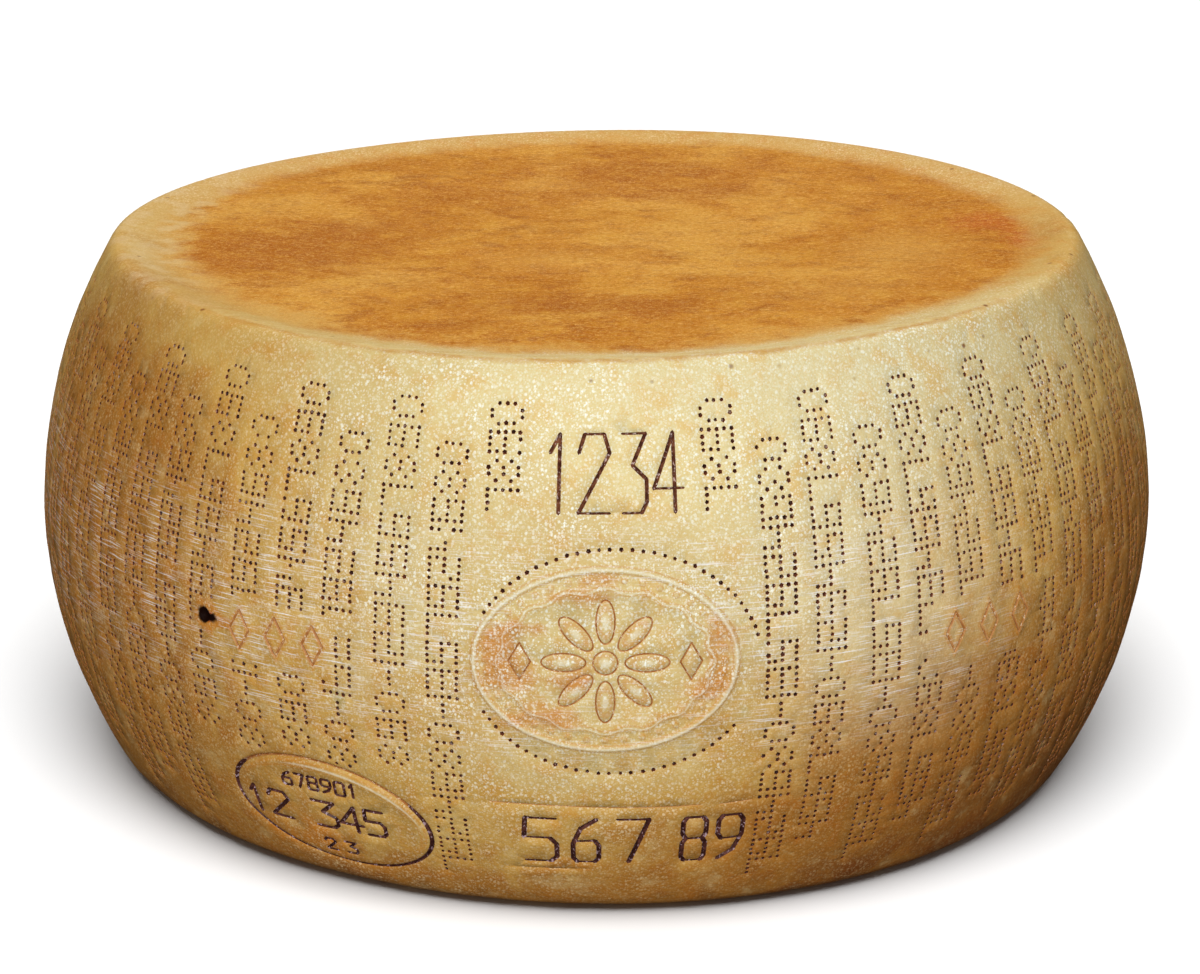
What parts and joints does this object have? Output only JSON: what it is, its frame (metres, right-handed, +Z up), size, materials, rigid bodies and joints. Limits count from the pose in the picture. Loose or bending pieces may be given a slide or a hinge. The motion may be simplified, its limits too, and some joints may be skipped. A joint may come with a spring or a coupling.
{
  "type": "parmesan wheel",
  "caption": "Whole wheel of hard aged cheese: a bulging drum with a lipped, slightly dished top, stamped relief on its side and a flat base to rest on.",
  "frame": {"origin": "middle of the flat base, under the middle of the wheel's box", "axes": "+Z up through the wheel's two faces, -Y towards the side with the oval stamp, +X to that side's right"},
  "size_m": [0.4604, 0.4598, 0.2154],
  "materials": {
    "rind": "dry straw-coloured cheese rind, dull, a little waxy, with an orange-brown top"
  },
  "bodies": {
    "root": {"cheese_wheel": "rind"}
  },
  "joints": []
}
